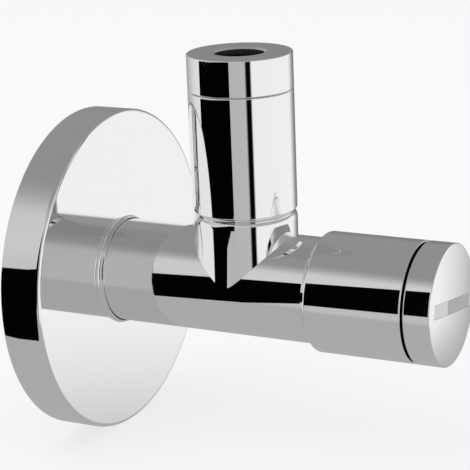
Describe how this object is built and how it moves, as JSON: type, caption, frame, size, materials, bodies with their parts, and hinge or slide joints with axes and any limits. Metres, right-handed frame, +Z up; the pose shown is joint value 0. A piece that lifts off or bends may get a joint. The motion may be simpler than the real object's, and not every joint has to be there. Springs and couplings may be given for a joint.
{
  "type": "angle stop tap",
  "caption": "Chromed angle stop tap with sliding wall flange, slotted front cap, filter in the upright outlet sleeve and compression nut for a small pipe.",
  "frame": {"origin": "on the inlet axis, in the plane of the finished wall that the flange rests on", "axes": "+X out of the wall along the inlet axis, +Z up along the outlet axis, Y level along the wall"},
  "size_m": [0.0976, 0.07, 0.0845],
  "materials": {
    "chrome": "polished chrome plate on brass",
    "brass": "turned, not plated",
    "steel": "plain stainless",
    "rubber": "black, smooth",
    "white_plastic": "moulded, satin"
  },
  "bodies": {
    "tap_body": {"valve_body": "chrome", "bonnet": "chrome", "bonnet_o_ring": "rubber", "thrust_washer": "white_plastic", "clip_washer": "brass", "filter_holder": "chrome", "holder_o_ring": "rubber", "filter_gasket": "rubber", "filter_frame": "white_plastic", "filter_mesh": "steel", "olive": "brass", "compression_nut": "chrome"},
    "flange": {"wall_flange": "chrome", "flange_grip_ring": "rubber"},
    "spindle": {"spindle": "brass", "slotted_cap": "chrome", "retaining_clip": "steel", "spindle_o_ring_inner": "rubber", "spindle_o_ring_outer": "rubber"},
    "plug": {"valve_plug": "brass", "seat_washer": "rubber", "washer_plate": "brass", "washer_screw": "brass"}
  },
  "joints": [
    {"name": "flange_slide", "type": "slide", "parent": "tap_body", "child": "flange", "axis": [1, 0, 0], "range_m": [0, 0.0172]},
    {"name": "spindle_turn", "type": "hinge", "parent": "tap_body", "child": "spindle", "pos_m": [0, 0, 0], "axis": [1, 0, 0], "range_deg": [0, 540]},
    {"name": "plug_slide", "type": "slide", "parent": "tap_body", "child": "plug", "axis": [1, 0, 0], "range_m": [0, 0.003]}
  ],
  "couplings": [
    {"joint": "plug_slide", "follows": "spindle_turn", "m_per_rad": 0.00031831}
  ]
}
